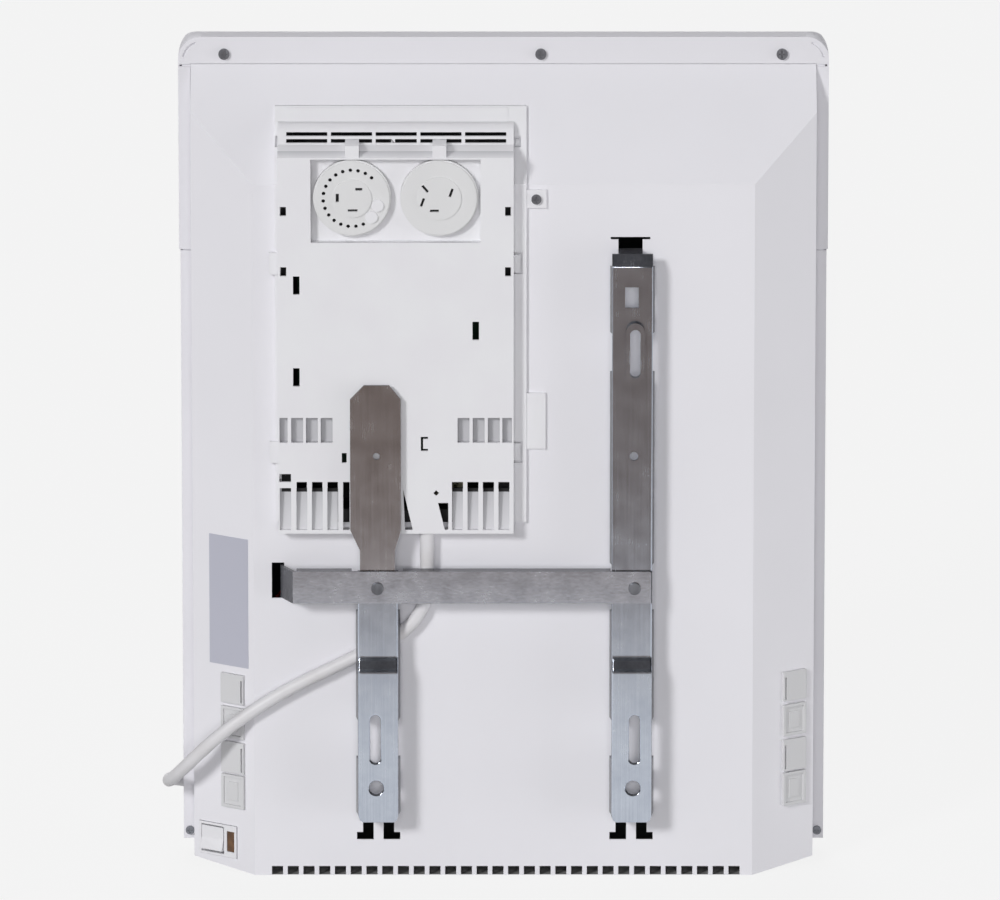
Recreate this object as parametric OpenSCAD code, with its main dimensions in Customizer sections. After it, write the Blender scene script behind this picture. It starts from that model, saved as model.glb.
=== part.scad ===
// Wall convector heater with its wall bracket, control box and supply cord.
// The base stands on Z = 0, the room side faces -Y and the wall side faces +Y. Millimetres.

/* [Casing] */
// Width over the hood
casing_w = 340; // [334:1:380]
// Height of the casing
casing_h = 444; // [440:1:500]
// Depth of the rear pan, from its rim to the raised face
pan_depth = 37; // [34:1:44]
// Depth of the hood and the front panel
front_depth = 26; // [24:1:40]
// Gap between the raised face and the wall
standoff = 17; // [16:0.5:22]
// Thickness of the casing sheet
sheet = 1; // [0.8:0.1:1.2]
// Radius of the hood's upper corners, seen from behind
corner_r = 12; // [8:1:14]
// Radius of the front edges
front_r = 14; // [8:1:18]
// Height of the hood, from the top down to the seam
hood_h = 114; // [100:1:140]
// How far the front panel steps in behind the hood
panel_step = 0.7; // [0.5:0.1:0.8]
// Height of the front panel's lower edge above the base
panel_lift = 10; // [8:1:14]
// Air gap left at each seam of the casing
seam_gap = 0.3; // [0.2:0.1:0.5]

/* [Rear pan] */
// Width of the rim that shows at each side of the pan
side_rim = 6.6; // [6.2:0.1:9]
// Height of the rim that shows above the pan
top_rim = 14.5; // [13:0.5:20]
// Width of the raised face
face_w = 262; // [256:1:280]
// Height of the raised face
face_h = 373.5; // [372:0.5:382]
// Depth of the square part of the side walls
side_wall = 15; // [10:1:18]
// Rise of the lower edge from the raised face to the side walls
edge_rise = 4.5; // [3:0.5:5]
// Number of air inlet slots
inlet_n = 30; // [20:1:31]
// Spacing of the air inlet slots
inlet_pitch = 8.3; // [7:0.1:8.3]
// Width of one air inlet slot
inlet_w = 5.9; // [3:0.1:6.2]
// Height of an inlet slot on the raised face
inlet_h = 4.9; // [3:0.1:7]

/* [Outlet grille] */
// Width of the outlet
outlet_w = 280; // [200:2:290]
// Height of the outlet
outlet_h = 54; // [40:1:64]
// Distance from the top of the casing to the top of the outlet
outlet_drop = 34; // [28:1:40]
// Number of louvres
louvre_n = 7; // [4:1:8]

/* [Fasteners] */
// Place of the upper screw by the left corner, seen from behind
screw_left = 146; // [144:0.5:148]
// Place of the middle upper screw
screw_mid = -19.5; // [-30:0.5:30]
// Place of the upper screw by the right corner, seen from behind
screw_right = -145.5; // [-148:0.5:-144]
// Distance of the upper screws below the top
top_screw_drop = 9; // [7:0.5:10]
// Distance of the two lower screws in from the sides
side_screw_in = 4; // [3.8:0.1:4.4]
// Height of the two lower screws
side_screw_z = 14.5; // [14:0.5:30]
// Diameter of a screw shank
screw_d = 2.9; // [2.5:0.1:3]
// Diameter of an upper screw head
screw_head_d = 5.8; // [5:0.1:6.4]
// Diameter of a lower screw head
side_head_d = 4.6; // [4:0.1:4.8]
// Height of a screw head
screw_head_h = 1.6; // [1:0.1:2]
// Radial clearance of a screw or shaft in its hole
fit = 0.05; // [0.02:0.01:0.1]

/* [Control box] */
// Middle of the box across the casing
box_x = 56.2; // [54:0.2:58]
// Width of the box cover
box_w = 123; // [120:1:126]
// Height of the cover's lower edge
box_z = 188.2; // [186:0.2:190]
// Height of the cover, up to its roof
box_h = 221.8; // [220:0.2:223]
// How far the cover stands off the raised face
box_proud = 9.5; // [8:0.5:11]
// Wall of the box mouldings
box_wall = 1.5; // [1.2:0.1:1.8]
// Thickness of the frame round the box
frame_t = 2; // [1.5:0.1:2.5]
// Frame that shows beside the box, on the cord side
frame_near = 1.6; // [1:0.1:2]
// Frame that shows beside the box, on the lug side
frame_far = 6.7; // [5:0.1:8]
// How far the frame starts above the cover's lower edge
frame_lift = 4.4; // [3:0.1:6]
// Depth of the tray behind the raised face
tray_depth = 25; // [22:1:27]
// Width of the recess for the dials
recess_w = 88.4; // [86:0.2:92]
// Height of the recess for the dials
recess_h = 45; // [43:0.5:46]
// Distance of the recess's upper edge below the roof
recess_drop = 20.6; // [20:0.1:21]
// Depth of the recess for the dials
recess_d = 5.5; // [5:0.1:6]
// How far the strip with the vents stands off the frame
vent_rise = 4.9; // [3.5:0.1:5.2]
// Radius of the cover's round top edge
box_top_r = 8; // [6:0.5:9]

/* [Dials] */
// Diameter of a dial
dial_d = 40.6; // [36:0.2:41]
// Distance between the two dials
dial_gap = 45.5; // [43:0.5:46]
// Thickness of a dial
dial_t = 4.4; // [4:0.1:5]
// Diameter of the dial stem
stem_d = 6; // [5:0.1:7]
// Number of stop holes in the temperature dial
stop_hole_n = 17; // [9:1:20]
// Diameter of a stop hole
stop_hole_d = 1.9; // [1.2:0.1:2.2]
// Radius of the row of stop holes
stop_row_r = 15; // [14:0.1:16]
// Diameter of a stop pin's head
pin_head_d = 6.4; // [5:0.1:6.6]

/* [Wall bracket] */
// Distance between the middles of the two legs
leg_gap = 133; // [128:1:138]
// Width of a leg
leg_w = 21.2; // [20.6:0.1:22]
// Thickness of the bracket steel
steel = 1.5; // [1.2:0.1:1.6]
// Depth of the joggle between the lower and the upper web
joggle = 3; // [2.8:0.1:3.4]
// Height of the lower end of the legs
leg_z = 33.5; // [33:0.5:36]
// Height of the joggle's lower end
joggle_z = 115.5; // [112:0.5:118]
// Height of the right leg's bend under its tongue
leg_top = 332; // [328:1:334]
// Height of the top of the left leg's tab
tab_top = 269; // [262:1:274]
// Width of the left leg's tab
tab_w = 26.4; // [25:0.2:28]
// Height of the crossbar's lower edge
bar_z = 152; // [150:0.5:153]
// Height of the crossbar
bar_h = 17.2; // [16.6:0.2:18]
// Distance between the two wall slots
slot_gap = 208; // [204:1:212]
// Height of the middle of the lower wall slot
slot_z = 78.6; // [77:0.2:80]
// Width of a wall slot
slot_w = 5.5; // [4.5:0.1:6]
// Length of a wall slot
slot_len = 26; // [22:1:28]

/* [Power switch and feet] */
// Height of the middle of the power switch
switch_z = 15.8; // [15.6:0.1:18]
// Length of the switch along the slanted wall
switch_l = 24; // [23:0.5:25]
// Height of the switch
switch_h = 17.4; // [16.4:0.1:17.6]
// Width of a foot socket along the slanted wall
socket_w = 14.4; // [12:0.2:16]
// Height of the blank rating plate
plate_h = 70; // [50:1:80]
// Height of the rating plate's lower edge
plate_z = 112; // [110:1:130]
// Width of the rating plate
plate_w = 24.8; // [20:0.2:26]

/* [Supply cord] */
// Diameter of the cord
cord_d = 7; // [6:0.1:7]
// Number of turns in the stored coil
coil_turns = 2.5; // [1.5:0.5:2.5]
// Sideways pitch of the coil's turns
coil_pitch = 7.5; // [7.5:0.1:7.7]

/* [Hidden] */
$fn = 48;
e = 0.01;

// Main planes of the casing
depth = front_depth + pan_depth + standoff;
y_wall = depth / 2;
y_face = y_wall - standoff;
y_rim = y_face - pan_depth;
y_front = -depth / 2;
half_w = casing_w / 2;
pan_hw = half_w - side_rim;
pan_top = casing_h - top_rim;
seam_z = casing_h - hood_h;
y_crease = y_rim + side_wall;
y_pan = y_rim - 2 * sheet;
flange_hw = half_w - sheet - panel_step - seam_gap;
top_screw_x = [screw_left, screw_mid, screw_right];

// Upper facet of the pan: its tilt, and the place of a surface at height t above it
facet_tilt = atan((y_face - y_rim) / (pan_top - face_h));
function facet_y(z, t) = y_face + t / cos(facet_tilt) - (z - face_h) * tan(facet_tilt);

// The slanted side wall of the pan: its length and its turn about Z
slant = [pan_hw - face_w / 2, y_crease - y_face];
slant_l = norm(slant);
slant_turn = atan2(slant[1], slant[0]);

// Control box
box_l = box_x - box_w / 2;
box_r = box_x + box_w / 2;
y_box = y_face + box_proud;
roof_z = box_z + box_h;
recess_top = roof_z - recess_drop;
recess_z = recess_top - recess_h;
y_recess = y_box - recess_d;
frame_z = box_z + frame_lift;
tray_x0 = box_l + 6;
tray_x1 = box_r - 6;
tray_z0 = frame_z + 5.4;
y_tray = y_face - tray_depth;
y_board = y_tray + box_wall + 11.5;
board_t = 1.6;
lug_screw = [box_l - frame_far - 5.1, 366];
tab_zs = [frame_z + 38, frame_z + 139.3];
vent_z = [recess_top + 4.2, recess_top + 10.3];
notch_z = [recess_top + 1.9, recess_top + 7];

// Dials
dial_z = recess_z + recess_h / 2 + 1.1;
tray_z1 = roof_z - 8 - seam_gap;
board_z1 = dial_z + 12;
dial_xs = [box_x + dial_gap / 2 - 0.1, box_x - dial_gap / 2 - 0.1];
y_dial = y_recess + seam_gap;
y_dial_face = y_dial + dial_t;
stem_end = y_board + board_t + 3;
pin_shank_d = 2.4;
pin_places = [[-13.3, -3.7], [-10.1, -9.9]];
board_xs = [tray_x0 + 10, tray_x1 - 10];
board_zs = [tray_z0 + 34, board_z1 - 6];
y_socket = y_recess - box_wall - 2.5;

// Power switch: places along the slanted wall, the rocker's axis, pins and tilt at rest
switch_u = slant_l / 2 + 4;
rocker_u = [switch_u - 3.6, switch_u + switch_l / 2 - 1.8];
rocker_mid = switch_z;
rocker_n = -3;
pin_r = 1;
rest_tilt = 7;

// Wall bracket
leg_r_x = -0.7 - leg_gap / 2;
leg_l_x = -0.7 + leg_gap / 2;
slot_x = leg_r_x - 1.5;
slot_l_x = leg_l_x + 1.4;
y_up = y_wall - joggle;
y_bar = y_up + steel;
y_flange = y_wall - 8.5;
neck_z = leg_z;
hook_slot_z = [leg_z - 14, leg_z - 10];
hook_end = y_face - 4;
hook_us = [-5.4, 5.4];
joggle_h = 6.5;
tongue_w = 12;
tongue_z = leg_top + 5.2;
bar_end = [109.4, 116];
rivet_z = bar_z + bar_h / 2 - 0.6;
rivet_d = 4;
rivet_head_d = 6.4;
web_hole_z = 231;
foot_hole = [7.4, 52.2];
rivet_xs = [leg_r_x - 1.4, leg_l_x + 0.2];

// Heating parts
element_x = -10;
element_y = y_rim - 2;
element_z = 84;
element_l = 230;
bush_d = 15;
shield_y = y_face - 13;
shield_z = [element_z - 53, element_z + 92];
cutout = [element_x + 70, element_z + 56];
cutout_d = 17;
sensor_x = face_w / 2 - 7.2;
base_front = y_front + sheet + panel_step;

// Free stretch of the cord, from the strain relief round the side to the floor in front
cord_exit = [40, y_face + 4, 168];
cord_route = [
    cord_exit, [40, 27, 160], [41.5, 27, 150], [46, 27, 141], [54, 27, 133], [64, 27, 127],
    [76, 27, 121], [92, 27, 113], [108, 27, 105], [122, 27, 97], [136, 26.5, 87.5], [148, 25.5, 78],
    [158, 23, 68.5], [167, 18, 58.5], [173.5, 9, 50], [176.5, -4, 44.5], [176.5, -19, 41],
    [174.5, -32, 37.5], [167, -44, 33], [154, -50.5, 27.5], [137, -51, 21], [120, -49, 14.5],
    [104, -47.2, 9], [88, -46.5, 5.5], [72, -46.5, 4.5], [50, -46.5, 4.5], [27, -46.5, 4.5]
];
cord_sides = 8;
relief_neck = 6.4;

// Coil: a flat spiral that runs inward on the floor, with straight ends
coil_r = 46.5;
coil_mid = [20, -46.5 - coil_r, 4.5];
coil_sides = 6;
coil_steps = round(24 * coil_turns);
function coil_at(i) = let (a = 90 + 360 * i / 24, r = coil_r - coil_pitch * i / 24)
    coil_mid + [r * cos(a), r * sin(a), 0];
coil_turn = [for (i = [0:coil_steps]) coil_at(i)];
coil_end_turn = 180 + 360 * coil_turns + 10;
coil_end_dir = [cos(coil_end_turn), sin(coil_end_turn), 0];
coil_end = coil_turn[coil_steps] + cord_d * coil_end_dir;
coil_path = concat([cord_route[len(cord_route) - 1]], coil_turn, [coil_end]);
coil_gap = min([for (i = [0:len(coil_path) - 1]) for (j = [i + 12:1:len(coil_path) - 1])
    norm(coil_path[i] - coil_path[j]) - cord_d]);
echo(coil_least_gap = coil_gap);

white = "#f2f2f3";
steel_grey = "#a9adb3";

function unit(v) = v / norm(v);

// A closed outline, counter-clockwise, moved inward by t at every side
function inset(p, t) = [for (i = [0:len(p) - 1]) let (
    u = unit(p[i] - p[(i + len(p) - 1) % len(p)]),
    v = unit(p[(i + 1) % len(p)] - p[i]),
    m = [u[1], -u[0]],
    n = [v[1], -v[0]])
    p[i] - t * (m + n) / (1 + m * n)];

// Outlines lie in the plane named by the two axes and are drawn out along the third
module along_x(x0, x1) { translate([x0, 0, 0]) rotate([90, 0, 90]) linear_extrude(x1 - x0) children(); }
module along_y(y0, y1) { translate([0, y1, 0]) rotate([90, 0, 0]) linear_extrude(y1 - y0) children(); }
module along_z(z0, z1) { translate([0, 0, z0]) linear_extrude(z1 - z0) children(); }

module block(x, y, z) { translate([x[0], y[0], z[0]]) cube([x[1] - x[0], y[1] - y[0], z[1] - z[0]]); }
module rod_y(x, z, y0, y1, d) { translate([x, y1, z]) rotate([90, 0, 0]) cylinder(h = y1 - y0, d = d); }
module rod_x(y, z, x0, x1, d) { translate([x0, y, z]) rotate([0, 90, 0]) cylinder(h = x1 - x0, d = d); }

// An upright slot with round ends, drawn along Y
module slot_y(x, z, w, l, y0, y1) {
    block([x - w / 2, x + w / 2], [y0, y1], [z - (l - w) / 2, z + (l - w) / 2]);
    for (s = [-1, 1]) rod_y(x, z + s * (l - w) / 2, y0, y1, w);
}

// Places on the slanted side wall: u runs outward along it, n stands out of it
module on_slant(side) {
    mirror([side < 0 ? 1 : 0, 0, 0])
        translate([face_w / 2, y_face, 0]) rotate([0, 0, slant_turn]) children();
}

// A tube along points, as one closed mesh
function tube_ring(p, i, r, n) = let (
    last = len(p) - 1,
    t = i == 0 ? unit(p[1] - p[0]) : i == last ? unit(p[last] - p[last - 1])
        : unit(unit(p[i] - p[i - 1]) + unit(p[i + 1] - p[i])),
    side = abs(t[2]) > 0.9 ? unit(cross(t, [0, 1, 0])) : unit(cross(t, [0, 0, 1])),
    up = cross(side, t))
    [for (k = [0:n - 1]) p[i] + r * (cos(360 * (k + 0.5) / n) * side + sin(360 * (k + 0.5) / n) * up)];
module tube(p, d, n) {
    rings = len(p);
    points = [for (i = [0:rings - 1]) each tube_ring(p, i, d / 2, n)];
    walls = [for (i = [0:rings - 2]) for (k = [0:n - 1]) let (
        a = i * n + k,
        b = i * n + (k + 1) % n)
        each [[a, b, b + n], [a, b + n, a + n]]];
    start = [for (k = [1:n - 2]) [0, k + 1, k]];
    end = [for (k = [1:n - 2]) [(rings - 1) * n, (rings - 1) * n + k, (rings - 1) * n + k + 1]];
    polyhedron(points = points, faces = concat(walls, start, end), convexity = 8);
}

// The pan's outer form, moved inward by t
module pan_form(t, y0, top) {
    plan = [[-pan_hw, y0], [pan_hw, y0], [pan_hw, y_crease], [face_w / 2, y_face],
        [-face_w / 2, y_face], [-pan_hw, y_crease]];
    back = [[-pan_hw, edge_rise], [-face_w / 2, 0], [face_w / 2, 0], [pan_hw, edge_rise],
        [pan_hw, pan_top], [-pan_hw, pan_top]];
    intersection() {
        along_z(-10, top) polygon(inset(plan, t));
        along_x(-pan_hw - 10, pan_hw + 10) pan_side(t, y0);
        along_y(y0 - 10, y_face + 10) polygon(inset(back, t));
    }
}
module pan_side(t, y0) {
    side = [[y0, 0], [y_face, 0], [y_face, face_h], [y_rim, pan_top], [y0, pan_top]];
    polygon(inset(side, t));
}

module screw_holes(y0, y1) {
    for (x = top_screw_x) rod_y(x, casing_h - top_screw_drop, y0, y1, screw_d + 2 * fit);
    for (s = [-1, 1]) rod_y(s * (half_w - side_screw_in), side_screw_z, y0, y1, screw_d + 2 * fit);
}

// Hook slots, one upper narrow part over a wider lower part
module hook_slots() {
    for (x = [leg_r_x, leg_l_x]) for (s = [-1, 1]) {
        u = [s * 2.6, s * 8.2];
        w = [s * 2.6, s * 11.4];
        block([x + min(u), x + max(u)], [y_face - 5, y_face + 5], [hook_slot_z[1], neck_z + steel + 1]);
        block([x + min(w), x + max(w)], [y_face - 5, y_face + 5], [hook_slot_z[0], hook_slot_z[1] + e]);
    }
}

module rear_panel() {
    color(white) difference() {
        union() {
            difference() {
                pan_form(0, y_pan, pan_top + 1);
                pan_form(sheet, y_pan - 6, pan_top + 1);
            }
            // Rim that lies behind the rear flanges of the hood and the front panel
            along_y(y_pan, y_pan + sheet) difference() {
                rounded_top(2 * flange_hw, panel_lift + 1, casing_h - sheet - seam_gap, corner_r - sheet);
                translate([-pan_hw + sheet, 0]) square([2 * (pan_hw - sheet), pan_top - sheet]);
            }
            // Base plate and its front lip, which the front panel rests against
            block([-face_w / 2 + 4, face_w / 2 - 4], [base_front, y_pan + e], [0, sheet]);
            block([-face_w / 2 + 4, face_w / 2 - 4], [base_front, base_front + sheet],
                [0, panel_lift + 12]);
        }
        // Air inlet slots run across the base and turn up into the raised face
        for (i = [0:inlet_n - 1])
            translate([(i - (inlet_n - 1) / 2) * inlet_pitch - 1.2 - inlet_w / 2, y_rim + 2, -1])
                cube([inlet_w, pan_depth + 2, inlet_h + 1]);
        block([tray_x0 - seam_gap, tray_x1 + seam_gap], [y_rim, y_face + 5],
            [tray_z0 - seam_gap, roof_z - 8]);
        // Slots for the bracket: tongue, crossbar end and hooks
        block([leg_r_x + 1 - tongue_w / 2 - 0.3, leg_r_x + 1 + tongue_w / 2 + 0.3],
            [y_face - 5, y_face + 5], [tongue_z - 0.8, tongue_z + 7]);
        block([leg_r_x + 1 - 10.3, leg_r_x + 1 + 10.3], [y_face - 5, y_face + 5],
            [tongue_z + 6.9, tongue_z + 8.2]);
        block([bar_end[1] - 1, bar_end[1] + 5.5], [y_face - 5, y_face + 5], [bar_z - 1, bar_z + bar_h + 1]);
        hook_slots();
        screw_holes(y_pan - 1, y_rim + 1);
        rod_y(lug_screw[0], lug_screw[1], y_face - 5, y_face + 5, screw_d + 2 * fit);
        on_slant(1) block([slant_l / 2 + 4 - switch_l / 2 - 0.3, slant_l / 2 + 4 + switch_l / 2 + 0.3],
            [-5, 5], [switch_z - switch_h / 2 - 0.3, switch_z + switch_h / 2 + 0.3]);
    }
}

// Seen from behind: square at the bottom, round at both upper corners
module rounded_top(w, z0, z1, r) {
    translate([-w / 2, z0]) square([w, z1 - r - z0]);
    translate([-w / 2 + r, z0]) square([w - 2 * r, z1 - z0]);
    for (s = [-1, 1]) translate([s * (w / 2 - r), z1 - r]) circle(r);
}

// Seen from above: round front edges, open or flat at the rear
module round_front_plan(hw, y0, y1, r) {
    translate([-hw, y0 + r]) square([2 * hw, y1 - y0 - r]);
    translate([-hw + r, y0]) square([2 * (hw - r), y1 - y0]);
    for (s = [-1, 1]) translate([s * (hw - r), y0 + r]) circle(r);
}

module hood_form(t, z0, y1) {
    r = front_r - t;
    intersection() {
        along_y(y_front - 1, y1) rounded_top(casing_w - 2 * t, z0, casing_h - t, corner_r - t);
        along_z(z0 - 1, casing_h + 1) round_front_plan(half_w - t, y_front + t, y_rim + 10, r);
        along_x(-half_w - 1, half_w + 1) union() {
            translate([y_front + t, z0 - 1]) square([depth, casing_h - t - r - z0 + 1]);
            translate([y_front + t + r, z0 - 1]) square([depth, casing_h - t - z0 + 1]);
            translate([y_front + t + r, casing_h - t - r]) circle(r);
        }
    }
}

module front_hood() {
    outlet_z1 = casing_h - outlet_drop;
    color(white) difference() {
        hood_form(0, seam_z + seam_gap, y_rim);
        hood_form(sheet, seam_z - 10, y_rim - sheet);
        block([-pan_hw - seam_gap, pan_hw + seam_gap], [y_rim - 3, y_rim + 1],
            [seam_z - 1, pan_top + seam_gap]);
        block([-outlet_w / 2, outlet_w / 2], [y_front - 1, y_front + 5], [outlet_z1 - outlet_h, outlet_z1]);
        screw_holes(y_rim - 3, y_rim + 1);
        for (s = [-1, 1]) {
            // Gap where the side flange meets the top flange
            block([s * (half_w - 3.6) - 3, s * (half_w - 3.6) + 3], [y_rim - sheet - e, y_rim + 1],
                [pan_top - 1.2, pan_top - 0.2]);
            // Curved relief slit that follows the corner
            translate([s * (half_w - corner_r), 0, casing_h - corner_r])
                corner_slit(s);
        }
    }
}
module corner_slit(side) {
    r = corner_r - 2.2;
    intersection() {
        along_y(y_rim - sheet - e, y_rim + 1) difference() {
            circle(r);
            circle(r - 1);
        }
        along_y(y_rim - 3, y_rim + 2)
            polygon([[0, 0], [side * 20 * cos(8), 20 * sin(8)], [side * 20, 20],
                [side * 20 * cos(72), 20 * sin(72)]]);
    }
}

module front_panel() {
    hw = half_w - panel_step;
    y0 = y_front + panel_step;
    lip_hw = half_w - sheet - 0.1;
    color(white) difference() {
        union() {
            along_z(panel_lift, seam_z - seam_gap) difference() {
                round_front_plan(hw, y0, y_rim, front_r);
                round_front_plan(hw - sheet, y0 + sheet, y_rim - sheet, front_r - sheet);
                translate([-pan_hw - seam_gap, y_rim - 3]) square([2 * (pan_hw + seam_gap), 10]);
            }
            // Inner lip that slides up behind the hood
            along_z(seam_z - 7, seam_z + 8) difference() {
                round_front_plan(lip_hw, y_front + sheet + 0.1, y_pan - 1, front_r - sheet - 0.1);
                round_front_plan(lip_hw - sheet, y_front + 2 * sheet + 0.1, y_pan + 5,
                    front_r - 2 * sheet - 0.1);
            }
        }
        screw_holes(y_rim - 3, y_rim + 1);
    }
}

module outlet_grille() {
    z1 = casing_h - outlet_drop - 0.2;
    z0 = z1 - outlet_h + 0.4;
    hw = outlet_w / 2 - 0.2;
    step = (z1 - z0 - 6) / louvre_n;
    y0 = y_front + 0.4;
    color(white) {
        difference() {
            union() {
                block([-hw, hw], [y0, y0 + 6], [z0, z1]);
                block([-hw - 3, hw + 3], [y_front + sheet, y_front + sheet + 1.2], [z0 - 3, z1 + 3]);
            }
            block([-hw + 2.5, hw - 2.5], [y0 - 1, y0 + 8], [z0 + 2.5, z1 - 2.5]);
        }
        for (i = [0:louvre_n - 1])
            along_x(-hw + 2, hw - 2) translate([y0 + 0.4, z0 + 3 + (i + 0.25) * step])
                polygon([[0, 0], [5.4, 2.6], [5.4, 4.1], [0, 1.5]]);
        for (x = [-hw / 2, 0, hw / 2]) block([x - 1, x + 1], [y0 + 3, y0 + 6], [z0 + 2, z1 - 2]);
    }
}

module screw_y(x, z, y, head_d, length) {
    rod_y(x, z, y - length, y, screw_d);
    difference() {
        rod_y(x, z, y, y + screw_head_h, head_d);
        for (a = [0, 90]) translate([x, y + screw_head_h, z]) rotate([0, a, 0])
            cube([head_d * 0.6, 1.4, 0.8], center = true);
    }
}
module hood_screws() {
    color(steel_grey) for (x = top_screw_x) screw_y(x, casing_h - top_screw_drop, y_rim, screw_head_d, 8);
}
module side_screws() {
    color(steel_grey) for (s = [-1, 1])
        screw_y(s * (half_w - side_screw_in), side_screw_z, y_rim, side_head_d, 8);
}

// The band between the pan and the same form grown by the frame's thickness
module frame_band(x0, x1, z0, z1) {
    intersection() {
        block([x0, x1], [y_rim, y_face + 20], [z0, z1]);
        difference() {
            along_x(x0, x1) pan_side(-frame_t, y_pan);
            along_x(x0 - 1, x1 + 1) pan_side(0, y_pan - 1);
        }
    }
}

// A strip that follows the upper facet, between two heights above it
module facet_strip(x, t, z) {
    along_x(x[0], x[1]) polygon([[facet_y(z[0], t[0]), z[0]], [facet_y(z[0], t[1]), z[0]],
        [facet_y(z[1], t[1]), z[1]], [facet_y(z[1], t[0]), z[1]]]);
}

module control_box_frame() {
    x0 = box_l - frame_far;
    x1 = box_r + frame_near;
    top = roof_z + 0.4;
    color(white) difference() {
        union() {
            frame_band(x0, x1, frame_z, top);
            // Lugs on the raised face
            block([x0 - 10.4, x0 + 1], [y_face, y_face + 1.5], [lug_screw[1] - 4.8, lug_screw[1] + 4.8]);
            block([x0 - 10, x0 + 1], [y_face, y_face + 1.5], [frame_z + 39.4, frame_z + 69.4]);
            // Tray walls and floor, ending at the frame's surface
            intersection() {
                block([tray_x0, tray_x1], [y_tray, y_face + 0.5], [tray_z0, tray_z1]);
                along_x(tray_x0, tray_x1) pan_side(-frame_t, y_pan);
            }
        }
        block([tray_x0 + box_wall, tray_x1 - box_wall], [y_tray + box_wall, y_face + 9],
            [tray_z0 + box_wall, tray_z1 - box_wall]);
        // Windows round the cover's snap tabs on the lug side, and a notch at each end of the vents
        for (z = tab_zs) block([box_l - 4.6, box_l + 1], [y_face + 0.3, y_face + 5], [z - 5.9, z + 5.9]);
        facet_strip([box_l - 3.8, box_l - e], [0.3, frame_t + 1], notch_z);
        facet_strip([box_r + e, box_r + frame_near - 0.3], [0.3, frame_t + 1], notch_z);
        // Way for the leads through the tray's lower wall
        block([26, 34], [y_tray + 3, y_tray + 10], [tray_z0 - 1, tray_z0 + box_wall + 1]);
        rod_y(lug_screw[0], lug_screw[1], y_face - 1, y_face + 5, screw_d + 2 * fit);
    }
    // Catch in the notch, and posts under the board
    color(white) {
        facet_strip([box_l - 2.9, box_l - 1], [0.2, frame_t], [notch_z[0] + 1.2, notch_z[1] - 1.3]);
        for (x = board_xs) for (z = board_zs) rod_y(x, z, y_tray + box_wall - e, y_board, 6);
    }
}

module box_screw() {
    color(steel_grey) screw_y(lug_screw[0], lug_screw[1], y_face + 1.5, 5.2, 8);
}

// One row of pockets or windows, each at a pitch from its own start
module row(x, pitch, n, w, y, z) {
    for (i = [0:n - 1]) block([x + i * pitch - w / 2, x + i * pitch + w / 2], y, z);
}

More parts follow.
